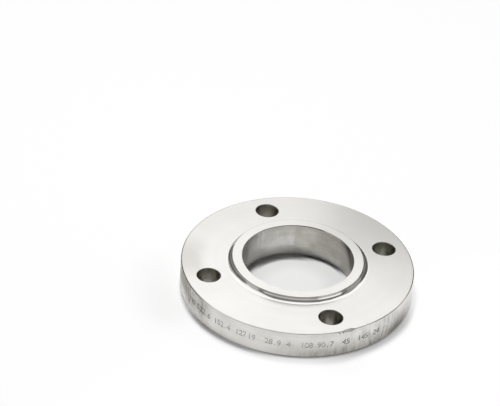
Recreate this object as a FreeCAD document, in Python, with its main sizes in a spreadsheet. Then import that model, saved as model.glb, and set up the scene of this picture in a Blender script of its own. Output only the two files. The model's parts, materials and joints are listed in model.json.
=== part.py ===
import FreeCAD, Part

import math
import os

import Sketcher

# Slip-on pipe flange with a raised sealing face, for a 3 inch pipe in pressure class 150.
# It is one piece: a forging turned all over, then drilled for its bolts. The pipe slides into
# the plain bore and is welded to the hub and at the face, and a gasket seals on the raised face.
#
# Frame: millimetres, +Z along the bore's axis, from the raised face towards the hub.
# The origin is on that axis in the plane of the raised face, on which the flange lies.

# The driving sizes, each with the words that describe it.
DRIVING_SIZES = {
    "outside_diameter": (190.5, "rim, across"),
    "rim_thickness": (22.6, "rim, without the raised face"),
    "raised_face_diameter": (127.0, "raised face, across"),
    "raised_face_height": (1.6, "raised face, above the rim's face"),
    "hub_diameter": (108.0, "hub, across its straight wall"),
    "hub_height": (4.7, "hub, above the rim's back"),
    "bore_diameter": (90.7, "plain bore for the pipe"),
    "bolt_edge_distance": (19.05, "circle of the bolt holes, in from the rim"),
    "bolt_hole_diameter": (19.05, "bolt hole"),
    "bolt_hole_count": (4, "bolt holes round the circle"),
    "hub_fillet_radius": (4.0, "root of the hub, nearly as high as the hub"),
    "raised_face_fillet_radius": (0.5, "root of the raised face"),
    "rim_corner_radius": (0.9, "upper corner of the rim, towards the hub"),
    "rim_chamfer": (0.6, "lower corner of the rim, towards the raised face"),
    "raised_face_chamfer": (0.3, "edge of the raised face"),
    "hub_chamfer": (0.5, "edge of the hub"),
    "bore_chamfer": (0.5, "both mouths of the bore"),
    "bolt_hole_chamfer": (0.4, "both mouths of each bolt hole"),
    "dent_length": (11.5, "dent in the rim's upper corner, along the rim"),
    "dent_depth": (1.1, "dent, below the rim's rounded corner"),
    "dent_angle": (-40.0, "place of the dent round the axis, in degrees from +X"),
}

# How far an edge may be from the size that it is looked up by.
MATCH = 1e-4

# How far the solid's volume may be from the plain reckoning of it, as a share.
VOLUME_SHARE = 0.01

# Sketch places: the two ends of a line, and the origin, which is the start of the level axis.
START, END = 1, 2
LEVEL_AXIS = -1
ORIGIN = LEVEL_AXIS, START


def size(name):
    return DRIVING_SIZES[name][0]


def make_size_sheet(doc):
    """Words, value and alias of every driving size, one size to a row."""
    sheet = doc.addObject("Spreadsheet::Sheet", "Sizes")
    for row, (name, (value, words)) in enumerate(DRIVING_SIZES.items(), start=1):
        sheet.set(f"A{row}", words)
        sheet.set(f"B{row}", str(value))
        sheet.setAlias(f"B{row}", name)


def origin_feature(body, role):
    return next(feature for feature in body.Origin.OriginFeatures if feature.Role == role)


def make_sketch(body, name):
    """A sketch on the upright plane through the axis: its X is the radius and its Y the height."""
    sketch = body.newObject("Sketcher::SketchObject", name)
    sketch.AttachmentSupport = [(origin_feature(body, "XZ_Plane"), "")]
    sketch.MapMode = "FlatFace"
    return sketch


def draw_outline(sketch, corners):
    """A closed outline of straight lines. Line N runs from corner N to the next one."""
    lines = range(len(corners))
    points = [FreeCAD.Vector(radius, height, 0) for radius, height in corners]
    following = [*lines[1:], lines[0]]
    for line, after in zip(lines, following):
        sketch.addGeometry(Part.LineSegment(points[line], points[after]), False)
    for line, after in zip(lines, following):
        sketch.addConstraint(Sketcher.Constraint("Coincident", line, END, after, START))
    return lines


def direct(sketch, direction, *lines):
    for line in lines:
        sketch.addConstraint(Sketcher.Constraint(direction, line))


def drive(sketch, name, expression, kind, *where):
    """Adds a named dimension to a sketch, bound to the sheet."""
    sketch.addConstraint(Sketcher.Constraint(kind, *where))
    sketch.renameConstraint(sketch.ConstraintCount - 1, name)
    sketch.setExpression(f"Constraints.{name}", expression)


def circular_edges(feature, radius, height):
    """Names of a feature's level circular edges that have this radius and lie at this height."""
    names = []
    for number, edge in enumerate(feature.Shape.Edges, start=1):
        if not isinstance(edge.Curve, Part.Circle) or abs(edge.Curve.Radius - radius) > MATCH:
            continue
        if abs(edge.BoundBox.ZMin - height) < MATCH and abs(edge.BoundBox.ZMax - height) < MATCH:
            names.append(f"Edge{number}")
    if not names:
        raise RuntimeError(f"{feature.Label} has no edge of radius {radius} at height {height}")
    return names


def make_turned_blank(body):
    """The half section of raised face, rim and hub, turned round the bore's axis."""
    bore = size("bore_diameter") / 2
    face = size("raised_face_diameter") / 2
    rim = size("outside_diameter") / 2
    hub = size("hub_diameter") / 2
    front = size("raised_face_height")
    back = front + size("rim_thickness")
    top = back + size("hub_height")
    corners = [
        (bore, 0.0),
        (face, 0.0),
        (face, front),
        (rim, front),
        (rim, back),
        (hub, back),
        (hub, top),
        (bore, top),
    ]
    sketch = make_sketch(body, "HalfSection")
    lines = draw_outline(sketch, corners)
    raised_face, face_step, rim_front, rim_edge, rim_back, hub_wall, hub_end, bore_wall = lines
    direct(sketch, "Horizontal", raised_face, rim_front, rim_back, hub_end)
    direct(sketch, "Vertical", face_step, rim_edge, hub_wall, bore_wall)
    sketch.addConstraint(Sketcher.Constraint("PointOnObject", raised_face, START, LEVEL_AXIS))

    radii = [
        ("bore", "bore_diameter", raised_face, bore),
        ("raised_face", "raised_face_diameter", face_step, face),
        ("rim", "outside_diameter", rim_edge, rim),
        ("hub", "hub_diameter", hub_wall, hub),
    ]
    for name, driving, line, radius in radii:
        half = f"Sizes.{driving} / 2"
        drive(sketch, f"{name}_radius", half, "DistanceX", *ORIGIN, line, START, radius)
    heights = [
        ("raised_face_height", face_step),
        ("rim_thickness", rim_edge),
        ("hub_height", hub_wall),
    ]
    for name, line in heights:
        drive(sketch, name, f"Sizes.{name}", "DistanceY", line, START, line, END, size(name))

    blank = body.newObject("PartDesign::Revolution", "TurnedBlank")
    blank.Profile = sketch
    blank.ReferenceAxis = (sketch, ["V_Axis"])
    blank.Angle = 360
    body.Document.recompute()
    return blank


def dress_edges(body, kind, name, base, edges, expression):
    """A fillet or a chamfer on some edges of the feature before it."""
    feature = body.newObject(f"PartDesign::{kind}", name)
    feature.Base = (base, edges)
    feature.setExpression("Radius" if kind == "Fillet" else "Size", expression)
    body.Document.recompute()
    return feature


def finish_turned_edges(body, blank):
    """The tool's radius in both roots, and the broken edges of everything turned.

    The hub's root takes up nearly all of the hub's height, so its radius is held to the room
    that the hub's own chamfer leaves.
    """
    front = size("raised_face_height")
    back = front + size("rim_thickness")
    top = back + size("hub_height")
    bore = size("bore_diameter") / 2
    rim = size("outside_diameter") / 2
    hub = size("hub_diameter") / 2
    face = size("raised_face_diameter") / 2
    hub_root = "min(Sizes.hub_fillet_radius; 0.97 * (Sizes.hub_height - Sizes.hub_chamfer))"
    steps = [
        ("Fillet", "HubRoot", hub_root, [(hub, back)]),
        ("Fillet", "RaisedFaceRoot", "Sizes.raised_face_fillet_radius", [(face, front)]),
        ("Fillet", "RimUpperCorner", "Sizes.rim_corner_radius", [(rim, back)]),
        ("Chamfer", "RimLowerCorner", "Sizes.rim_chamfer", [(rim, front)]),
        ("Chamfer", "RaisedFaceEdge", "Sizes.raised_face_chamfer", [(face, 0.0)]),
        ("Chamfer", "HubEdge", "Sizes.hub_chamfer", [(hub, top)]),
        ("Chamfer", "BoreMouths", "Sizes.bore_chamfer", [(bore, 0.0), (bore, top)]),
    ]
    feature = blank
    for kind, name, expression, places in steps:
        edges = [edge for place in places for edge in circular_edges(feature, *place)]
        feature = dress_edges(body, kind, name, feature, edges, expression)


def drill_bolt_circle(body):
    """One bolt hole through the rim, half a pitch from +X, and its copies round the circle.

    Both mouths are broken at 45 degrees. In the section the slopes run on past the rim's two
    faces by the size of the chamfer, so that the cut has no face in common with the rim.
    """
    axis = size("outside_diameter") / 2 - size("bolt_edge_distance")
    radius = size("bolt_hole_diameter") / 2
    past = size("bolt_hole_chamfer")
    flare = 2 * past
    front = size("raised_face_height")
    back = front + size("rim_thickness")
    corners = [
        (axis, front - past),
        (axis + radius + flare, front - past),
        (axis + radius, front + past),
        (axis + radius, back - past),
        (axis + radius + flare, back + past),
        (axis, back + past),
    ]
    sketch = make_sketch(body, "BoltHoleSection")
    turn = FreeCAD.Rotation(FreeCAD.Vector(0, 1, 0), 180 / size("bolt_hole_count"))
    sketch.AttachmentOffset = FreeCAD.Placement(FreeCAD.Vector(), turn)
    sketch.setExpression("AttachmentOffset.Rotation.Angle", "180 deg / Sizes.bolt_hole_count")
    lines = draw_outline(sketch, corners)
    low_end, front_slope, wall, back_slope, high_end, middle = lines
    direct(sketch, "Horizontal", low_end, high_end)
    direct(sketch, "Vertical", wall, middle)
    centre_line = sketch.addGeometry(Part.LineSegment(sketch.Geometry[middle]), True)
    for end in (START, END):
        sketch.addConstraint(Sketcher.Constraint("Coincident", centre_line, end, middle, end))

    place = "Sizes.outside_diameter / 2 - Sizes.bolt_edge_distance"
    low = "Sizes.raised_face_height - Sizes.bolt_hole_chamfer"
    high = "Sizes.raised_face_height + Sizes.rim_thickness + Sizes.bolt_hole_chamfer"
    slope = "2 * Sizes.bolt_hole_chamfer"
    half = "Sizes.bolt_hole_diameter / 2"
    drive(sketch, "place", place, "DistanceX", *ORIGIN, low_end, START, axis)
    drive(sketch, "low", low, "DistanceY", *ORIGIN, low_end, START, front - past)
    drive(sketch, "high", high, "DistanceY", *ORIGIN, high_end, END, back + past)
    drive(sketch, "radius", half, "DistanceX", low_end, START, wall, START, radius)
    drive(sketch, "front_flare", slope, "DistanceX", front_slope, END, front_slope, START, flare)
    drive(sketch, "front_rise", slope, "DistanceY", front_slope, START, front_slope, END, flare)
    drive(sketch, "back_flare", slope, "DistanceX", back_slope, START, back_slope, END, flare)
    drive(sketch, "back_rise", slope, "DistanceY", back_slope, START, back_slope, END, flare)

    hole = body.newObject("PartDesign::Groove", "BoltHole")
    hole.Profile = sketch
    hole.ReferenceAxis = (sketch, ["Axis0"])
    hole.Angle = 360

    circle = body.newObject("PartDesign::PolarPattern", "BoltCircle")
    circle.Originals = [hole]
    circle.Axis = (origin_feature(body, "Z_Axis"), [""])
    circle.Angle = 360
    circle.setExpression("Occurrences", "Sizes.bolt_hole_count")
    body.Tip = circle
    body.Document.recompute()


def strike_dent(body):
    """The dent of a knock on the upper corner of the rim: a shallow scoop of a ball."""
    ball_radius = "(Sizes.dent_length ^ 2 / 4 + Sizes.dent_depth ^ 2) / (2 * Sizes.dent_depth)"
    rounded_off = "Sizes.rim_corner_radius * (1 - 1 / sqrt(2))"
    outwards = f"(({ball_radius} - Sizes.dent_depth) / sqrt(2) - {rounded_off})"
    from_axis = f"(Sizes.outside_diameter / 2 + {outwards})"
    back = "Sizes.raised_face_height + Sizes.rim_thickness"
    dent = body.newObject("PartDesign::SubtractiveSphere", "Dent")
    dent.setExpression("Radius", ball_radius)
    dent.setExpression(".Placement.Base.x", f"{from_axis} * cos(Sizes.dent_angle * 1 deg)")
    dent.setExpression(".Placement.Base.y", f"{from_axis} * sin(Sizes.dent_angle * 1 deg)")
    dent.setExpression(".Placement.Base.z", f"{back} + {outwards}")
    body.Document.recompute()


def make_flange(doc):
    body = doc.addObject("PartDesign::Body", "Flange")
    body.Label = "flange"
    blank = make_turned_blank(body)
    finish_turned_edges(body, blank)
    drill_bolt_circle(body)
    strike_dent(body)
    return body


def expected_volume():
    """Turned rings less the bolt holes, without the small volumes of fillets, chamfers and dent."""
    bore = size("bore_diameter")
    rings = [
        (size("raised_face_diameter"), size("raised_face_height")),
        (size("outside_diameter"), size("rim_thickness")),
        (size("hub_diameter"), size("hub_height")),
    ]
    turned = sum((outer**2 - bore**2) * height for outer, height in rings)
    drilled = size("bolt_hole_count") * size("bolt_hole_diameter") ** 2 * size("rim_thickness")
    return math.pi / 4 * (turned - drilled)


def check(doc, bodies):
    """Stops the build on a failed feature, a bad solid or a volume that a missing cut would give."""
    for item in doc.Objects:
        if "Invalid" in item.State or "Error" in item.State:
            raise RuntimeError(f"{item.Label} failed: {item.State}")
    for body in bodies:
        if body.Shape.isNull() or not body.Shape.isValid() or len(body.Shape.Solids) != 1:
            raise RuntimeError(f"{body.Label} isn't one valid solid")
    volume = bodies[0].Shape.Volume
    if abs(volume / expected_volume() - 1) > VOLUME_SHARE:
        raise RuntimeError(f"the flange's volume is {volume:.0f}, not {expected_volume():.0f}")


def main():
    doc = FreeCAD.newDocument("PipeFlange")
    make_size_sheet(doc)
    doc.recompute()
    bodies = [make_flange(doc)]
    check(doc, bodies)
    os.makedirs("parts", exist_ok=True)
    for body in bodies:
        body.Shape.exportStep(f"parts/{body.Label}.step")
        print(f"{body.Label}: {body.Shape.Volume:.0f} mm3, {len(body.Shape.Faces)} faces")


main()
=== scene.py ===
"""The looks of a slip-on pipe flange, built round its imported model.

The flange is one piece: forged, turned all over, drilled for four bolts and stamped with plain
numbers round its rim. Everything is in metres, with the origin in the middle of the raised face
on which the flange lies, and +Z along the bore towards the hub.
"""

import json
import math
import random

import bmesh
import bpy
from mathutils import Matrix, Vector


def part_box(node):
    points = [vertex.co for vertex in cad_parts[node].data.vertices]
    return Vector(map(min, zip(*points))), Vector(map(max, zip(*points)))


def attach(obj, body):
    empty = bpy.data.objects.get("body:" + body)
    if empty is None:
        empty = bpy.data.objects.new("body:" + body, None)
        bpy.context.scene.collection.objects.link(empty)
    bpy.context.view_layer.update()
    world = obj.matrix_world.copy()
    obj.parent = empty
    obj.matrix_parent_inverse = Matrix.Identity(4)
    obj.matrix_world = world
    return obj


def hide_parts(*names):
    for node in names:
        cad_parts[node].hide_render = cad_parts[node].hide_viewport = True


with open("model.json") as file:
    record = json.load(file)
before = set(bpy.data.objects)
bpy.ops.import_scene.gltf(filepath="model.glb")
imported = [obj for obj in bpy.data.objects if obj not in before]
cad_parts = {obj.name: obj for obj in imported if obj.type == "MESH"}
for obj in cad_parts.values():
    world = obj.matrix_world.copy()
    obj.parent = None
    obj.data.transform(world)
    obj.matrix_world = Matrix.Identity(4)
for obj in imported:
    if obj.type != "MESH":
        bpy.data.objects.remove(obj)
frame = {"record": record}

bl_info = {
    "name": "Pipe flange",
    "version": (1, 0, 0),
    "blender": (4, 5, 0),
    "location": "3D View > Sidebar > Flange",
    "description": "Makes a stamped steel pipe flange and the studio that it is shown in",
    "category": "Object",
}

NODE = "flange"
BODY = "root"

MM = 0.001
FULL_TURN = math.tau
WHITE = (1, 1, 1, 1)
AXIS = Vector((0, 0, 1))
MIDDLE = Vector((0, 0, 0))

LOWEST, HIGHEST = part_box(NODE)
MOUNT_SIZES = {mount["name"]: mount["dims"] for mount in frame["record"]["mounts"]}
OUTSIDE_DIAMETER = 2 * min(HIGHEST.x, HIGHEST.y, -LOWEST.x, -LOWEST.y)
BORE_DIAMETER = 2 * MOUNT_SIZES["pipe_bore"]["r_mm"] * MM
BOLT_CIRCLE_DIAMETER = MOUNT_SIZES["bolt_circle"]["pcd_mm"] * MM
BOLT_HOLE_DIAMETER = 2 * MOUNT_SIZES["bolt_circle"]["hole_r_mm"] * MM
BOLT_HOLE_COUNT = MOUNT_SIZES["bolt_circle"]["count"]

# Steps round a full turn.
TURNED_STEPS = 360
DRILLED_STEPS = 72
FLOOR_STEPS = 128

FLOOR_RADIUS = 6.0

# Points closer together than this are one: of a turned form, and of the digits.
TURNED_WELD = 0.001 * MM
DIGIT_WELD = 0.002 * MM

# Edges that bend by more than this stay sharp in the shading.
SHARP_BEND = math.radians(25)

# How far the normal of a level face rises at least, and that of an upright one at most.
LEVEL = 0.999
UPRIGHT = 0.01

# The finishes of the one piece, in the order of its material slots.
FACE, EDGE, RIM, BORE, DRILLED, STAMPED = range(6)

# Waves of the turning marks to the metre, round the axis and across their way, and their depth.
FINE_MARKS = (30, 2600)
BROAD_MARKS = (9, 320)
MARK_DEPTH = 0.012 * MM

# The photograph's frame, and where the fitted camera stands. The origin's pixel is where the
# middle of the raised face lies in the picture.
FRAME_WIDTH, FRAME_HEIGHT = 500, 406
ORIGIN_PIXEL = (295.45, 285.6)
FOCAL_PIXELS = 1740.5
VIEW_AZIMUTH = math.radians(24.01)
VIEW_ELEVATION = math.radians(33.79)
VIEW_ROLL = math.radians(4.19)
VIEW_DISTANCE = 1.436

# The softbox: its bearing and elevation in degrees, its distance, and its width and depth.
LAMP_PLACE = (117.5, 73.7, 0.95)
LAMP_SIZE = (0.16, 0.16)

# The cards that the steel mirrors. Each has a name, the studio's setting for its brightness,
# its bearings and its elevations from and to in degrees, and its distance.
CARDS = [
    ("front_card", "front_card", (209, 347), (24, 71), 1.5),
    ("back_light_card", "bright_card", (40, 150), (31, 75), 1.52),
    ("low_left_card", "dark_card", (113, 186), (0, 27), 1.5),
    ("left_card", "pale_card", (112, 178), (27, 41), 1.5),
    ("front_left_card", "pale_card", (186, 209), (0, 42), 1.5),
    ("near_left_card", "dark_card", (209, 219), (0, 24), 1.5),
    ("low_back_card", "pale_card", (80, 113), (0, 30), 1.5),
    ("low_right_card", "dark_card", (30, 80), (0, 30), 1.5),
    ("right_low_card", "grey_card", (-3.5, 30), (0, 50), 1.5),
    ("front_low_card", "pale_card", (219, 305), (0, 24), 1.5),
    ("notch_card", "dark_card", (-15, -3.5), (0, 60), 1.5),
    ("right_card", "dark_card", (30, 84), (20, 34), 0.6),
]

# The two gouges beside the dent: place round the axis in degrees from +X, and length.
GOUGES = [(-43.2, 3.0 * MM), (-45.0, 3.8 * MM)]
GOUGE_RADIUS = 0.5 * MM
GOUGE_LEAN = math.radians(45)

# The stamped groups: plain numbers, most of them sizes of the flange in millimetres, and the
# place of each group's first digit round the axis, in degrees from +X.
STAMPED_GROUPS = [
    (-128.0, "190.5"),
    (-117.5, "22.6"),
    (-107.0, "152.4"),
    (-94.2, "127"),
    (-87.6, "19"),
    (-79.2, "28.9"),
    (-68.6, "4"),
    (-62.2, "108 90.7"),
    (-42.0, "45"),
    (-33.8, "145"),
    (-25.0, "24"),
]
STAMP_SEED = 11
STAMP_THICKNESS = 2 * MM

# How far a stroke of the hammer drives a digit, as shares of its full depth.
STRUCK = (0.8, 1.1)

# Height of a digit in the font's own units.
DIGIT_HEIGHT = 0.70


def length(name, default, description):
    return bpy.props.FloatProperty(
        name=name, description=description, default=default, min=0.0, precision=5, unit="LENGTH"
    )


def share(name, default, description):
    return bpy.props.FloatProperty(
        name=name, description=description, default=default, min=0.0, max=1.0, subtype="FACTOR"
    )


def level(name, default, description):
    return bpy.props.FloatProperty(name=name, description=description, default=default, min=0.0)


def angle(name, default, description):
    return bpy.props.FloatProperty(
        name=name, description=description, default=math.radians(default), unit="ROTATION"
    )


def colour(name, default, description):
    return bpy.props.FloatVectorProperty(
        name=name,
        description=description,
        default=default,
        size=3,
        min=0.0,
        max=1.0,
        subtype="COLOR",
    )


class FlangeSizes(bpy.types.PropertyGroup):
    outside_diameter: length("Outside", OUTSIDE_DIAMETER, "Across the rim")
    rim_thickness: length("Rim thickness", 22.6 * MM, "Rim without the raised face")
    raised_face_diameter: length("Raised face", 127 * MM, "Across the raised face")
    raised_face_height: length("Raised face height", 1.6 * MM, "Raised face above the rim")
    hub_diameter: length("Hub", 108 * MM, "Across the hub's straight wall")
    hub_height: length("Hub height", 4.7 * MM, "Hub above the rim's back")
    bore_diameter: length("Bore", BORE_DIAMETER, "Across the plain bore")
    bolt_circle_diameter: length(
        "Bolt circle", BOLT_CIRCLE_DIAMETER, "Through the bolt holes' middles"
    )
    bolt_hole_diameter: length("Bolt hole", BOLT_HOLE_DIAMETER, "Across a bolt hole")
    bolt_hole_count: bpy.props.IntProperty(
        name="Bolt holes",
        description="Holes round the bolt circle",
        default=BOLT_HOLE_COUNT,
        min=1,
    )
    hub_fillet: length("Hub root", 4.0 * MM, "Radius of the fillet at the hub's root")
    face_fillet: length("Raised face root", 0.5 * MM, "Radius at the raised face's root")
    rim_radius: length("Rim's upper corner", 0.9 * MM, "Radius of the corner towards the hub")
    rim_chamfer: length("Rim's lower corner", 0.6 * MM, "Chamfer of the corner towards the face")
    face_chamfer: length("Raised face chamfer", 0.3 * MM, "Broken edge of the raised face")
    hub_edge: length("Hub edge", 0.65 * MM, "Radius of the hub's worn edge")
    bore_chamfer: length("Bore chamfer", 0.5 * MM, "Broken mouths of the bore")
    hole_chamfer: length("Hole chamfer", 0.4 * MM, "Broken mouths of the bolt holes")
    dent_length: length("Dent length", 11.5 * MM, "Dent along the rim's upper corner")
    dent_depth: length("Dent depth", 1.1 * MM, "Dent below the rim's rounded corner")
    dent_angle: angle("Dent place", -40, "Place of the dent round the axis")


class StampSizes(bpy.types.PropertyGroup):
    height: length("Height", 5.1 * MM, "Height of a stamped digit")
    advance: length("Advance", 3.3 * MM, "From one digit to the next")
    depth: length("Depth", 0.35 * MM, "How deep a digit is struck")
    middle: length("Middle", 13.6 * MM, "Height of the row's middle line above the floor")
    tilt: angle("Tilt", 2.5, "Most that a digit leans either way")
    wander: length("Wander", 0.25 * MM, "Most that a digit leaves its place")


class SteelLook(bpy.types.PropertyGroup):
    steel: colour("Steel", (0.84, 0.825, 0.795), "Clean turned steel")
    dull: colour("Dull steel", (0.56, 0.54, 0.50), "Steel where its finish is duller")
    # This dark colour also paints shade and dark reflections: on the rim, on its upper corner and
    # in the bolt holes.
    stain_and_painted_shade: colour("Stain", (0.25, 0.235, 0.20), "Dark marks left by handling and heat")
    recess: colour("Recess", (0.54, 0.52, 0.48), "Floor of the stamped digits")
    roughness: share("Roughness", 0.38, "Roughness of a turned face")
    grain: share("Grain", 0.92, "How far the turning stretches a highlight across its marks")


class StudioLook(bpy.types.PropertyGroup):
    floor: colour("Floor", (0.97, 0.97, 0.97), "The floor near the flange")
    floor_shade: colour("Floor's shade", (0.02, 0.02, 0.02), "What the floor dims to in the bore")
    daylight: level("Room light", 0.06, "Strength of the room's even light")
    sky: level("Sky", 1.15, "Brightness of the room where the steel mirrors it")
    lamp_power: level("Lamp", 8.0, "Power of the softbox over the flange, in watts")
    bright_card: level("Bright card", 1.3, "Brightness of the card that lights the level faces")
    dark_card: level("Dark cards", 0.12, "Brightness of the cards that line the steel's edges")
    front_card: level("Front card", 0.22, "Brightness of the high card in front")
    grey_card: level("Grey card", 0.35, "Brightness of the low card on the right")
    pale_card: level("Pale card", 0.55, "Brightness of the low cards that light the rim")


class Value:
    """A number on a socket of a node. Arithmetic with it adds Math nodes."""

    def __init__(self, graph, socket):
        self.graph = graph
        self.socket = socket

    def math(self, operation, *others, clamp=False):
        settings = {"operation": operation, "use_clamp": clamp}
        inputs = dict(enumerate((self, *others)))
        return self.graph.node("Math", settings, inputs)

    def __add__(self, other):
        return self.math("ADD", other)

    def __sub__(self, other):
        return self.math("SUBTRACT", other)

    def __mul__(self, other):
        return self.math("MULTIPLY", other)

    def __pow__(self, other):
        return self.math("POWER", other)

    def __radd__(self, other):
        return self + other

    def __rmul__(self, other):
        return self * other

    def __rsub__(self, other):
        return self * -1 + other

    def clamped(self):
        """The number itself, held between 0 and 1."""
        return self.math("ADD", 0.0, clamp=True)

    def rise(self, low, high):
        """0 below low, 1 above high, and a smooth rise between them."""
        settings = {"interpolation_type": "SMOOTHSTEP"}
        inputs = {"Value": self, "From Min": low, "From Max": high}
        return self.graph.node("MapRange", settings, inputs)


class Graph:
    """The node tree of a material or of the world, emptied."""

    def __init__(self, tree):
        self.tree = tree
        tree.nodes.clear()

    def node(self, kind, settings=None, inputs=None, outputs=(0,)):
        """Adds a node: its settings first, then a value or a link for each named socket."""
        made = self.tree.nodes.new(f"ShaderNode{kind}")
        for name, setting in (settings or {}).items():
            setattr(made, name, setting)
        for name, given in (inputs or {}).items():
            if isinstance(given, Value):
                self.tree.links.new(given.socket, made.inputs[name])
            else:
                made.inputs[name].default_value = given
        values = [Value(self, made.outputs[name]) for name in outputs if made.outputs]
        return values[0] if len(values) == 1 else values

    def noise(self, vector, scale, detail, roughness=0.5):
        inputs = {"Vector": vector, "Scale": scale, "Detail": detail, "Roughness": roughness}
        return self.node("TexNoise", {}, inputs)

    def vector(self, x, y, z):
        return self.node("CombineXYZ", {}, {"X": x, "Y": y, "Z": z})

    def mix(self, factor, first, second):
        """One colour turning into another."""
        inputs = {"Factor": factor, 6: first, 7: second}
        return self.node("Mix", {"data_type": "RGBA", "clamp_factor": True}, inputs, (2,))


def rgba(shade):
    """A setting's colour, as a socket takes it."""
    return (*shade, 1.0)


def new_material(name):
    """A material and its emptied node tree."""
    material = bpy.data.materials.new(name)
    material.use_nodes = True
    return material, Graph(material.node_tree)


def turning_marks(graph, spot, waves, detail):
    """Marks of a tool that goes round the flange's axis, across a face or along a wall."""
    around, across = waves
    place = graph.vector(spot.x * around, spot.y * around, spot.travel * across)
    return graph.noise(place, 1.0, detail)


def steel_material(name, look, roughness, grain, marks, build):
    """Steel cut by a tool, with a finish that says how dull, stained and rough it is where."""
    material, graph = new_material(name)
    spot = Spot(graph)
    fine = turning_marks(graph, spot, FINE_MARKS, 1.0)
    band = turning_marks(graph, spot, BROAD_MARKS, 2.0)
    height = fine * 0.6 + band * 0.4
    relief = {"Strength": marks, "Distance": MARK_DEPTH, "Height": height}
    normal = graph.node("Bump", {}, relief)
    # What the finish returns also paints light and shade in places.
    dullness_and_painted_light, stain_and_painted_shade, rough = build(graph, spot, band)
    shade = graph.mix(dullness_and_painted_light, rgba(look.steel), rgba(look.dull))
    shader = graph.node(
        "BsdfPrincipled",
        {},
        {
            "Base Color": graph.mix(stain_and_painted_shade, shade, rgba(look.stain_and_painted_shade)),
            "Metallic": 1.0,
            "Roughness": rough + roughness,
            "Anisotropic": grain,
            "Anisotropic Rotation": 0.25,
            "Normal": normal,
        },
    )
    graph.node("OutputMaterial", {}, {"Surface": shader})
    return material


def struck_material(look):
    """Bottoms of the stamped digits and gouges, darker on the left and on the right."""
    material, graph = new_material("struck_marks")
    spot = Spot(graph)
    # On the left this darkening goes with the rim's painted dark reflection there; on the right
    # the digits are just darker.
    darkening = 0.1 + spot.sector(-165, -112, 5) * 0.8 + spot.sector(-50, -15, 5) * 0.7
    color = graph.mix(darkening, rgba(look.recess), rgba(look.stain_and_painted_shade))
    steel = {"Base Color": color, "Metallic": 1.0, "Roughness": 0.5}
    graph.node("OutputMaterial", {}, {"Surface": graph.node("BsdfPrincipled", {}, steel)})
    return material


class Spot:
    """Where a shaded point is, seen from the flange's axis.

    Its travel tells how far the tool went across a face or along a wall. One number does for
    both, because either the distance from the axis or the height stays the same.
    """

    def __init__(self, graph):
        self.place = graph.node("TexCoord", {}, {}, ("Object",))
        self.x, self.y, self.z = graph.node("SeparateXYZ", {}, {0: self.place}, ("X", "Y", "Z"))
        self.radius = (self.x * self.x + self.y * self.y) ** 0.5
        self.travel = self.radius + self.z * 1.3
        self.turn = self.y.math("ARCTAN2", self.x)

    def sector(self, start, end, fade=6.0):
        """1 between two places round the axis, in degrees from +X, and 0 away from them."""
        low, high, soft = (math.radians(number) for number in (start, end, fade))
        after = self.turn.rise(high - soft, high + soft)
        return self.turn.rise(low - soft, low + soft) * (1 - after)


# Each finish gives what varies over its faces: how dull, how stained and how much rougher they
# are; some of that dull and dark is painted light and shade. Heights and distances are in metres.
# Sectors are in degrees from +X, with the picture's front at -66 and its left at -156.


def face_finish(graph, spot, band):
    """Nearly clean, with one dull place near the rim on the left."""
    patch = graph.noise(spot.place, 22.0, 4.0, 0.55)
    dull = spot.sector(-166, -140, 12) * (spot.radius + (patch - 0.5) * 0.01).rise(0.072, 0.086)
    dullness_and_painted_light = 0.1 + (patch - 0.5) * 0.35 + (band - 0.5) * 0.1 + dull * 0.45
    return dullness_and_painted_light, dull * 0.05, (patch - 0.5) * 0.05 + (band - 0.5) * 0.02


def edge_finish(graph, spot, band):
    """Clean, but tarnished on the bore's mouth; the rim's upper corner has painted dark
    reflection.
    """
    patch = graph.noise(spot.place, 60.0, 3.0, 0.5)
    upper = spot.z.rise(0.020, 0.022)
    corner = spot.radius.rise(0.090, 0.092) * upper
    near = spot.sector(-116, -44, 10)
    mouth = (1 - spot.radius.rise(0.047, 0.049)) * upper * spot.sector(45, 110, 8)
    # On the rim's upper corner, not in front and less on the right, this darkening is painted dark
    # reflection that widens the dark line the corner mirrors; on the bore's mouth it is tarnished
    # steel.
    tarnish_and_painted_reflection = corner * (1 - near) * (0.85 - 0.5 * spot.sector(-42, 8, 8)) + mouth * 0.7
    return 0.2 + (patch - 0.5) * 0.5, tarnish_and_painted_reflection, (patch - 0.5) * 0.06 + corner * near * 0.3


def rim_finish(graph, spot, band):
    """Brushed lines round it, blotches, upright handled smears and painted dark reflections."""
    patch = graph.noise(spot.place, 55.0, 4.0, 0.6)
    smear = graph.noise(graph.vector(spot.turn * 38, spot.z * 90, 0.0), 1.0, 3.5, 0.6)
    # Painted dark reflection on the left, above the bottom few millimetres.
    left = spot.sector(-158, -114, 8) * spot.z.rise(0.001, 0.010)
    right = spot.sector(-40, 4, 8)
    # Darker towards the bottom in front and on the right: painted reflection of the floor's
    # shadow.
    low = (1 - spot.z.rise(0.003, 0.018)) * spot.sector(-70, 6, 14)
    smears = smear.rise(0.40, 0.66) * (patch.rise(0.30, 0.60) * 0.7 + 0.3)
    # Painted dark reflection on the far left, in the upper part.
    far_left = spot.sector(-149, -133, 6) * spot.z.rise(0.009, 0.015)
    # Painted reflection of the floor's shadow on the right, darkest low down.
    painted_far_right_shade = spot.sector(-12, 3, 6) * (1 - spot.z.rise(0.010, 0.024))
    clean = spot.sector(2, 30, 8) * spot.z.rise(0.012, 0.021)
    dullness_and_painted_light = 0.38 + (patch - 0.5) * 0.7 + (band - 0.5) * 0.3 + right * (smears * 0.5 - 0.2)
    dullness_and_painted_light -= clean * 0.45
    # The dark colour on the left and low on the right is painted reflection, broken up by real
    # smears.
    stain_and_painted_shade = left * (0.45 + smears * 0.55 + (patch - 0.5)) + low * (0.5 + smears * 0.35)
    stain_and_painted_shade += far_left * 0.45
    stain_and_painted_shade += painted_far_right_shade * 0.4
    return dullness_and_painted_light, stain_and_painted_shade, (patch - 0.5) * 0.12 + (band - 0.5) * 0.06 + smears * right * 0.1


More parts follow.
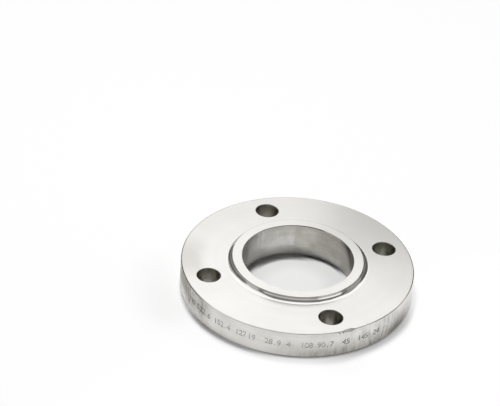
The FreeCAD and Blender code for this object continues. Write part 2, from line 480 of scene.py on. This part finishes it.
def bore_finish(graph, spot, band):
    """Hazy and mottled, with painted light: a slanting pale patch on the left, lighter low down.
    """
    cloud = graph.noise(spot.place, 26.0, 3.0, 0.55)
    haze = graph.noise(spot.place, 95.0, 4.0, 0.6)
    mottle = graph.noise(spot.place, 60.0, 3.0, 0.6)
    # A slanting pale patch on the left, below a diagonal edge: painted reflection.
    pale = spot.sector(118, 178, 2)
    slant = spot.z + (spot.turn - math.radians(119)) * 0.019 + (cloud - 0.5) * 0.02
    painted_pale_reflection = (1 - slant.rise(0.014, 0.026)) * (0.5 + spot.z.rise(0.004, 0.012) * 0.5) * pale
    painted_pale_reflection *= spot.sector(128, 180, 8) * 0.6 + 0.4
    # Less of the dark colour towards the back left: painted light.
    side = spot.turn.rise(math.radians(70), math.radians(112))
    # Painted light low on the wall, at the back and the back left, where the wall mirrors the
    # floor's shadow.
    low = (1 - spot.z.rise(0.002, 0.016)) * spot.sector(150, 179, 8)
    painted_light_at_bottom = (1 - spot.z.rise(0.004, 0.010)) * spot.sector(60, 170, 9)
    # Painted light at the bore's left end.
    left = (spot.x * -1).rise(0.0400, 0.0452)
    dullness_and_painted_light = 0.95 + (haze - 0.5) * 0.5 + (band - 0.5) * 0.3 - pale * 0.2 - painted_pale_reflection * 0.75
    dullness_and_painted_light -= painted_light_at_bottom * 0.4 + left * 0.6
    stain_and_painted_shade = 0.5 - side * 0.35 + (haze - 0.5) * 0.4 + (band - 0.5) * 0.2
    stain_and_painted_shade -= painted_pale_reflection * 0.3 + low * 0.5 + painted_light_at_bottom * 0.6 + left * 0.4 + (mottle - 0.5) * side
    return dullness_and_painted_light, stain_and_painted_shade, (haze - 0.5) * 0.12 + painted_pale_reflection * 0.08 + painted_light_at_bottom * 0.22 + left * 0.15


def hole_finish(graph, spot, band):
    """Dull and blotched, as a drill leaves it, and darkened as painted shade inside the holes."""
    patch = graph.noise(spot.place, 140.0, 3.0, 0.6)
    return 1.0, 0.6 + (patch - 0.5) * 0.8, (patch - 0.5) * 0.1


def steel_materials(look):
    """The finishes: name, roughness, grain, how strong the marks are, and what varies."""
    rough, grain = look.roughness, look.grain
    return [
        steel_material("turned_faces", look, rough * 0.8, grain * 0.55, 0.2, face_finish),
        steel_material("turned_edges", look, rough * 0.3, grain * 0.4, 0.2, edge_finish),
        steel_material("turned_rim", look, rough * 0.8, grain, 0.8, rim_finish),
        steel_material("bored_wall", look, rough * 0.65, grain * 0.85, 0.7, bore_finish),
        steel_material("drilled_holes", look, rough * 0.8, 0.0, 0.8, hole_finish),
        struck_material(look),
    ]


def new_object(name, bm, materials=()):
    """An object in the scene with the given form, which is used up."""
    mesh = bpy.data.meshes.new(name)
    bm.to_mesh(mesh)
    bm.free()
    for material in materials:
        mesh.materials.append(material)
    made = bpy.data.objects.new(name, mesh)
    bpy.context.scene.collection.objects.link(made)
    return made


def spin_outline(bm, corners, steps, closed):
    """Turns an outline about Z.

    A corner is its radius and height, and in a closed outline how far and in how many steps it is
    cut back.
    """
    verts = [bm.verts.new((radius, 0, height)) for radius, height, *_ in corners]
    if closed:
        bm.faces.new(verts)
        for vert, (_, _, cut, cut_steps) in zip(verts, corners):
            if cut:
                bmesh.ops.bevel(
                    bm,
                    geom=[vert],
                    offset=cut,
                    offset_type="OFFSET",
                    affect="VERTICES",
                    segments=cut_steps,
                    profile=0.5,
                    material=-1,
                )
        bmesh.ops.delete(bm, geom=bm.faces[:], context="FACES_ONLY")
    else:
        for start, end in zip(verts, verts[1:]):
            bm.edges.new((start, end))
    bmesh.ops.spin(
        bm,
        geom=bm.verts[:] + bm.edges[:],
        cent=MIDDLE,
        axis=AXIS,
        angle=FULL_TURN,
        steps=steps,
        use_merge=True,
        use_duplicate=False,
    )
    bmesh.ops.remove_doubles(bm, verts=bm.verts[:], dist=TURNED_WELD)
    bmesh.ops.recalc_face_normals(bm, faces=bm.faces[:])


def turned_blank(sizes, materials):
    """Rim, hub and raised face in one turned ring, before it is drilled and stamped."""
    bore = sizes.bore_diameter / 2
    face = sizes.raised_face_diameter / 2
    rim = sizes.outside_diameter / 2
    hub = sizes.hub_diameter / 2
    front = sizes.raised_face_height
    back = front + sizes.rim_thickness
    top = back + sizes.hub_height
    corners = [
        (bore, 0.0, sizes.bore_chamfer, 1),
        (face, 0.0, sizes.face_chamfer, 1),
        (face, front, sizes.face_fillet, 3),
        (rim, front, sizes.rim_chamfer, 1),
        (rim, back, sizes.rim_radius, 6),
        (hub, back, sizes.hub_fillet, 10),
        (hub, top, sizes.hub_edge, 5),
        (bore, top, sizes.bore_chamfer, 1),
    ]
    bm = bmesh.new()
    spin_outline(bm, corners, TURNED_STEPS, closed=True)
    for turned in bm.faces:
        radius = turned.calc_center_median().xy.length
        rise = abs(turned.normal.z)
        if rise > LEVEL:
            turned.material_index = FACE
        elif rise < UPRIGHT and radius > (rim + face) / 2:
            turned.material_index = RIM
        elif rise < UPRIGHT and radius < (bore + hub) / 2:
            turned.material_index = BORE
        else:
            turned.material_index = EDGE
    return new_object("flange_steel", bm, materials)


def hole_cutters(sizes, materials):
    """A drill for each bolt hole, flared where it leaves the rim, which breaks both mouths."""
    radius = sizes.bolt_hole_diameter / 2
    past = sizes.hole_chamfer
    front = sizes.raised_face_height
    back = front + sizes.rim_thickness
    corners = [
        (0.0, front - past),
        (radius + 2 * past, front - past),
        (radius, front + past),
        (radius, back - past),
        (radius + 2 * past, back + past),
        (0.0, back + past),
    ]
    bm = bmesh.new()
    spin_outline(bm, corners, DRILLED_STEPS, closed=False)
    drill = bm.verts[:] + bm.edges[:] + bm.faces[:]
    pitch = FULL_TURN / sizes.bolt_hole_count
    bmesh.ops.translate(bm, verts=bm.verts[:], vec=(sizes.bolt_circle_diameter / 2, 0, 0))
    bmesh.ops.rotate(bm, verts=bm.verts[:], cent=MIDDLE, matrix=Matrix.Rotation(pitch / 2, 3, "Z"))
    for number in range(1, sizes.bolt_hole_count):
        copied = bmesh.ops.duplicate(bm, geom=drill)["geom"]
        verts = [item for item in copied if isinstance(item, bmesh.types.BMVert)]
        turn = Matrix.Rotation(number * pitch, 3, "Z")
        bmesh.ops.rotate(bm, verts=verts, cent=MIDDLE, matrix=turn)
    for cut in bm.faces:
        cut.material_index = DRILLED
    return new_object("drills", bm, materials)


def dent_cutter(sizes, materials):
    """The ball that a knock on the rim's upper corner is scooped with."""
    reach = sizes.dent_length / 2
    ball = (reach**2 + sizes.dent_depth**2) / (2 * sizes.dent_depth)
    rounded_off = sizes.rim_radius * (1 - 1 / math.sqrt(2))
    outwards = (ball - sizes.dent_depth) / math.sqrt(2) - rounded_off
    bm = bmesh.new()
    bmesh.ops.create_icosphere(bm, subdivisions=5, radius=ball)
    out = sizes.outside_diameter / 2 + outwards
    up = sizes.raised_face_height + sizes.rim_thickness + outwards
    bmesh.ops.translate(bm, verts=bm.verts[:], vec=(out, 0, up))
    turn = Matrix.Rotation(sizes.dent_angle, 3, "Z")
    bmesh.ops.rotate(bm, verts=bm.verts[:], cent=MIDDLE, matrix=turn)
    for cut in bm.faces:
        cut.material_index = RIM
    return new_object("dent", bm, materials)


def gouge_cutter(sizes, materials):
    """Thin slanting gouges that the same knock left across the rim's upper corner."""
    radius = GOUGE_RADIUS
    out = sizes.outside_diameter / 2 + radius * 0.6
    up = sizes.raised_face_height + sizes.rim_thickness - radius * 2
    bm = bmesh.new()
    for place, run in GOUGES:
        made = bmesh.ops.create_cone(
            bm, cap_ends=True, segments=12, radius1=radius, radius2=radius, depth=run
        )
        matrix = (
            Matrix.Rotation(math.radians(place), 4, "Z")
            @ Matrix.Translation((out, 0, up))
            @ Matrix.Rotation(GOUGE_LEAN, 4, "X")
        )
        bmesh.ops.transform(bm, matrix=matrix, verts=made["verts"])
    for cut in bm.faces:
        cut.material_index = STAMPED
    return new_object("gouges", bm, materials)


def digit_mesh(digit, thickness):
    """One digit, standing on the XY plane's middle, closed all round."""
    curve = bpy.data.curves.new("digit", type="FONT")
    curve.body = digit
    curve.align_x = "CENTER"
    curve.extrude = thickness / 2
    curve.resolution_u = 3
    holder = bpy.data.objects.new("digit", curve)
    bpy.context.scene.collection.objects.link(holder)
    bpy.context.view_layer.update()
    graph = bpy.context.evaluated_depsgraph_get()
    mesh = bpy.data.meshes.new_from_object(holder.evaluated_get(graph))
    bpy.data.objects.remove(holder)
    bpy.data.curves.remove(curve)
    return mesh


def stamp_cutter(sizes, stamp, materials):
    """Every digit that is struck into the rim, upright and by hand, so none sits quite true."""
    draw = random.Random(STAMP_SEED)
    rim = sizes.outside_diameter / 2
    scale = stamp.height / DIGIT_HEIGHT
    upright = Matrix.Rotation(math.pi / 2, 4, "Z") @ Matrix.Rotation(math.pi / 2, 4, "X")
    bm = bmesh.new()
    for start, text in STAMPED_GROUPS:
        for number, digit in enumerate(text):
            lean = draw.uniform(-stamp.tilt, stamp.tilt)
            shift = draw.uniform(-stamp.wander, stamp.wander)
            sink = draw.uniform(*STRUCK) * stamp.depth
            if digit == " ":
                continue
            mesh = digit_mesh(digit, STAMP_THICKNESS / stamp.height * DIGIT_HEIGHT)
            before = set(bm.verts)
            bm.from_mesh(mesh)
            bpy.data.meshes.remove(mesh)
            verts = [vert for vert in bm.verts if vert not in before]
            place = math.radians(start) + number * stamp.advance / rim
            out = rim - sink + STAMP_THICKNESS / 2
            matrix = (
                Matrix.Rotation(place, 4, "Z")
                @ Matrix.Translation((out, 0, stamp.middle + shift))
                @ upright
                @ Matrix.Rotation(lean, 4, "Z")
                @ Matrix.Scale(scale, 4)
                @ Matrix.Translation((0, -DIGIT_HEIGHT / 2, 0))
            )
            bmesh.ops.transform(bm, matrix=matrix, verts=verts)
    bmesh.ops.remove_doubles(bm, verts=bm.verts[:], dist=DIGIT_WELD)
    bmesh.ops.recalc_face_normals(bm, faces=bm.faces[:])
    for cut in bm.faces:
        cut.material_index = STAMPED
    return new_object("stamps", bm, materials)


def finished_mesh(piece):
    """The piece's mesh with its modifiers applied."""
    bpy.context.view_layer.update()
    graph = bpy.context.evaluated_depsgraph_get()
    mesh = bpy.data.meshes.new_from_object(piece.evaluated_get(graph), depsgraph=graph)
    piece.modifiers.clear()
    return mesh


def cut_away(piece, cutters):
    """Takes each cutter out of the piece and removes it."""
    for cutter in cutters:
        cut = piece.modifiers.new(cutter.name, "BOOLEAN")
        cut.operation = "DIFFERENCE"
        cut.solver = "EXACT"
        cut.object = cutter
    piece.data = finished_mesh(piece)
    for cutter in cutters:
        bpy.data.objects.remove(cutter)


def shade_smooth(piece, sharp):
    """Smooth shading that breaks at sharp edges and keeps flat faces flat."""
    piece.data.shade_smooth()
    piece.data.set_sharp_from_angle(angle=sharp)
    weighted = piece.modifiers.new("weighted", "WEIGHTED_NORMAL")
    weighted.keep_sharp = True
    piece.data = finished_mesh(piece)


class FLANGE_OT_make_flange(bpy.types.Operator):
    """Make the steel flange: turned, drilled, dented and stamped"""

    bl_idname = "flange.make_flange"
    bl_label = "Make flange"

    def execute(self, context):
        sizes = context.scene.flange_sizes
        stamp = context.scene.flange_stamp
        materials = steel_materials(context.scene.flange_steel)
        piece = turned_blank(sizes, materials)
        cutters = [
            hole_cutters(sizes, materials),
            dent_cutter(sizes, materials),
            gouge_cutter(sizes, materials),
            stamp_cutter(sizes, stamp, materials),
        ]
        cut_away(piece, cutters)
        shade_smooth(piece, SHARP_BEND)
        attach(piece, BODY)
        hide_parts(NODE)
        return {"FINISHED"}


def view_axes():
    """The camera's right and up, with its roll, and its back."""
    sin_a, cos_a = math.sin(VIEW_AZIMUTH), math.cos(VIEW_AZIMUTH)
    sin_e, cos_e = math.sin(VIEW_ELEVATION), math.cos(VIEW_ELEVATION)
    back = Vector((sin_a * cos_e, -cos_a * cos_e, sin_e))
    right = Vector((cos_a, sin_a, 0))
    up = back.cross(right)
    sin_r, cos_r = math.sin(VIEW_ROLL), math.cos(VIEW_ROLL)
    return cos_r * right + sin_r * up, cos_r * up - sin_r * right, back


def as_seen(bearing, elevation, distance):
    """A place by its bearing in degrees in the picture, 0 to the right and 90 straight behind."""
    turn = math.radians(bearing) + VIEW_AZIMUTH
    rise = math.radians(elevation)
    level_distance = distance * math.cos(rise)
    x, y = level_distance * math.cos(turn), level_distance * math.sin(turn)
    return Vector((x, y, distance * math.sin(rise)))


def set_camera(scene):
    """The fitted camera, placed so that the origin falls on its pixel."""
    right, up, back = view_axes()
    across = (ORIGIN_PIXEL[0] - FRAME_WIDTH / 2) / FOCAL_PIXELS
    down = (ORIGIN_PIXEL[1] - FRAME_HEIGHT / 2) / FOCAL_PIXELS
    to_origin = (across * right - down * up - back).normalized() * VIEW_DISTANCE
    camera = bpy.data.objects.new("camera", bpy.data.cameras.new("camera"))
    camera.data.sensor_fit = "HORIZONTAL"
    camera.data.lens = FOCAL_PIXELS / FRAME_WIDTH * camera.data.sensor_width
    turn = Matrix((right, up, back)).transposed().to_4x4()
    camera.matrix_world = Matrix.Translation(-to_origin) @ turn
    scene.collection.objects.link(camera)
    scene.camera = camera


def set_lamp(scene, power):
    """A softbox that faces the flange, level with the picture, and isn't mirrored in the steel."""
    place = as_seen(*LAMP_PLACE)
    lamp = bpy.data.objects.new("softbox", bpy.data.lights.new("softbox", type="AREA"))
    lamp.data.shape = "RECTANGLE"
    lamp.data.size, lamp.data.size_y = LAMP_SIZE
    lamp.data.energy = power
    out = place.normalized()
    side = view_axes()[0]
    side = (side - side.dot(out) * out).normalized()
    turn = Matrix((side, out.cross(side), out)).transposed()
    lamp.matrix_world = Matrix.Translation(place) @ turn.to_4x4()
    lamp.visible_glossy = False
    scene.collection.objects.link(lamp)


def set_world(scene, look):
    """White where it is seen, a little brighter in the metal, and an even room light elsewhere."""
    world = bpy.data.worlds.new("room")
    world.use_nodes = True
    graph = Graph(world.node_tree)
    rays = ("Is Camera Ray", "Is Glossy Ray", "Is Transmission Ray", "Diffuse Depth")
    camera, glossy, transmission, depth = graph.node("LightPath", {}, {}, rays)
    shown = (camera + glossy + transmission - depth).clamped()
    mirrored = (glossy - depth).clamped()
    strength = shown * (1 - look.daylight) + look.daylight + mirrored * (look.sky - 1)
    background = graph.node("Background", {}, {"Color": WHITE, "Strength": strength})
    graph.node("OutputWorld", {}, {"Surface": background})
    scene.world = world


def cleared_share(spot):
    """How far the floor runs out into plain white outside the rim, whose shadow stays near it."""
    distance = spot.radius
    front = spot.sector(-105, -50, 14)
    left = spot.sector(-150, -82, 12)
    far_left = spot.sector(-168, -124, 9)
    right = spot.sector(-38, 14, 10)
    back_right = spot.sector(6, 40, 10)
    late = distance.rise(0.088, 0.092) * (0.22 + 0.35 * far_left)
    late += distance.rise(0.0953, 0.0997) * (0.78 - 0.35 * far_left)
    edge = distance.rise(0.0925, 0.097) * (1 - left) + late * left
    run_out = 0.25 * distance.rise(0.096, 0.106) + 0.15 * distance.rise(0.106, 0.13)
    cleared = edge * (0.55 + 0.2 * front - 0.1 * right + 0.25 * back_right) + run_out
    cleared += 0.3 * right * distance.rise(0.097, 0.103)
    shadow = distance.rise(0.096, 0.101) - distance.rise(0.105, 0.15)
    return cleared * (1 - 0.8 * far_left * shadow)


def shaded_share(spot):
    """How far the floor is dimmed inside the bore, most in a band along the wall at the back."""
    distance = spot.radius
    back = spot.sector(104, 168, 12)
    rest = (1 - back) * spot.sector(56, 168, 12)
    band = distance.rise(0.0345, 0.0385) - distance.rise(0.0385, 0.0425) * 0.6
    shaded = 0.10 + distance.rise(0.016, 0.036) * 0.13 + band * back * 0.45
    shaded += distance.rise(0.0405, 0.0435) * rest * 0.6
    return shaded * (1 - distance.rise(0.0452, 0.0455))


def floor_material(look):
    """Pale floor that keeps the shadow near the flange and runs out into plain white."""
    material, graph = new_material("floor")
    spot = Spot(graph)
    pale = graph.node("BsdfDiffuse", {}, {"Color": rgba(look.floor)})
    dim = graph.node("BsdfDiffuse", {}, {"Color": rgba(look.floor_shade)})
    white = graph.node("Emission", {}, {"Color": WHITE, "Strength": 1.0})
    near = graph.node("MixShader", {}, {0: shaded_share(spot), 1: pale, 2: dim})
    surface = graph.node("MixShader", {}, {0: cleared_share(spot), 1: near, 2: white})
    graph.node("OutputMaterial", {}, {"Surface": surface})
    return material


def make_floor(look):
    """The level floor on which the flange lies."""
    bm = bmesh.new()
    bmesh.ops.create_circle(bm, cap_ends=True, radius=FLOOR_RADIUS, segments=FLOOR_STEPS)
    return new_object("floor", bm, [floor_material(look)])


def card_material(name, brightness):
    """An evenly bright card."""
    material, graph = new_material(name)
    surface = graph.node("Emission", {}, {"Color": WHITE, "Strength": brightness})
    graph.node("OutputMaterial", {}, {"Surface": surface})
    return material


def curved_card(name, brightness, bearings, elevations, distance):
    """A card bent round the flange, only there to be mirrored in the steel."""
    start, end = (math.radians(bearing) + VIEW_AZIMUTH for bearing in bearings)
    low, high = (math.radians(elevation) for elevation in elevations)
    bm = bmesh.new()
    edge = bm.verts.new((distance, 0, 0))
    bmesh.ops.rotate(bm, verts=[edge], cent=MIDDLE, matrix=Matrix.Rotation(-low, 3, "Y"))
    bmesh.ops.rotate(bm, verts=[edge], cent=MIDDLE, matrix=Matrix.Rotation(start, 3, "Z"))
    across = Vector((math.sin(start), -math.cos(start), 0))
    spin = {"cent": MIDDLE, "use_merge": False, "use_duplicate": False}
    bmesh.ops.spin(bm, geom=[edge], axis=across, angle=high - low, steps=6, **spin)
    geom = bm.verts[:] + bm.edges[:]
    bmesh.ops.spin(bm, geom=geom, axis=AXIS, angle=end - start, steps=24, **spin)
    card = new_object(name, bm, [card_material(name, brightness)])
    card.visible_camera = False
    card.visible_diffuse = False
    card.visible_shadow = False
    card.visible_transmission = False
    return card


class FLANGE_OT_set_studio(bpy.types.Operator):
    """Set the camera, the room, the lamp, the floor and the cards"""

    bl_idname = "flange.set_studio"
    bl_label = "Set studio"

    def execute(self, context):
        scene = context.scene
        look = scene.flange_studio
        set_camera(scene)
        set_world(scene, look)
        set_lamp(scene, look.lamp_power)
        floor = make_floor(look)
        cards = [
            curved_card(name, getattr(look, setting), *place) for name, setting, *place in CARDS
        ]
        scene.view_settings.view_transform = "Standard"
        return {"FINISHED"}


class FLANGE_PT_panel(bpy.types.Panel):
    """The flange's settings and its operators"""

    bl_label = "Pipe flange"
    bl_idname = "FLANGE_PT_panel"
    bl_space_type = "VIEW_3D"
    bl_region_type = "UI"
    bl_category = "Flange"

    def draw(self, context):
        for group, operator in (
            ("flange_sizes", None),
            ("flange_stamp", None),
            ("flange_steel", FLANGE_OT_make_flange),
            ("flange_studio", FLANGE_OT_set_studio),
        ):
            box = self.layout.box()
            settings = getattr(context.scene, group)
            for name in settings.__annotations__:
                box.prop(settings, name)
            if operator:
                box.operator(operator.bl_idname)


GROUPS = {
    "flange_sizes": FlangeSizes,
    "flange_stamp": StampSizes,
    "flange_steel": SteelLook,
    "flange_studio": StudioLook,
}
OPERATORS = (FLANGE_OT_make_flange, FLANGE_OT_set_studio)


def register():
    for cls in (*GROUPS.values(), *OPERATORS, FLANGE_PT_panel):
        bpy.utils.register_class(cls)
    for name, group in GROUPS.items():
        setattr(bpy.types.Scene, name, bpy.props.PointerProperty(type=group))


def unregister():
    for name in GROUPS:
        delattr(bpy.types.Scene, name)
    for cls in reversed((*GROUPS.values(), *OPERATORS, FLANGE_PT_panel)):
        bpy.utils.unregister_class(cls)


def main():
    register()
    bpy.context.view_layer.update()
    bpy.ops.flange.make_flange()
    bpy.ops.flange.set_studio()


if __name__ == "__main__":
    main()
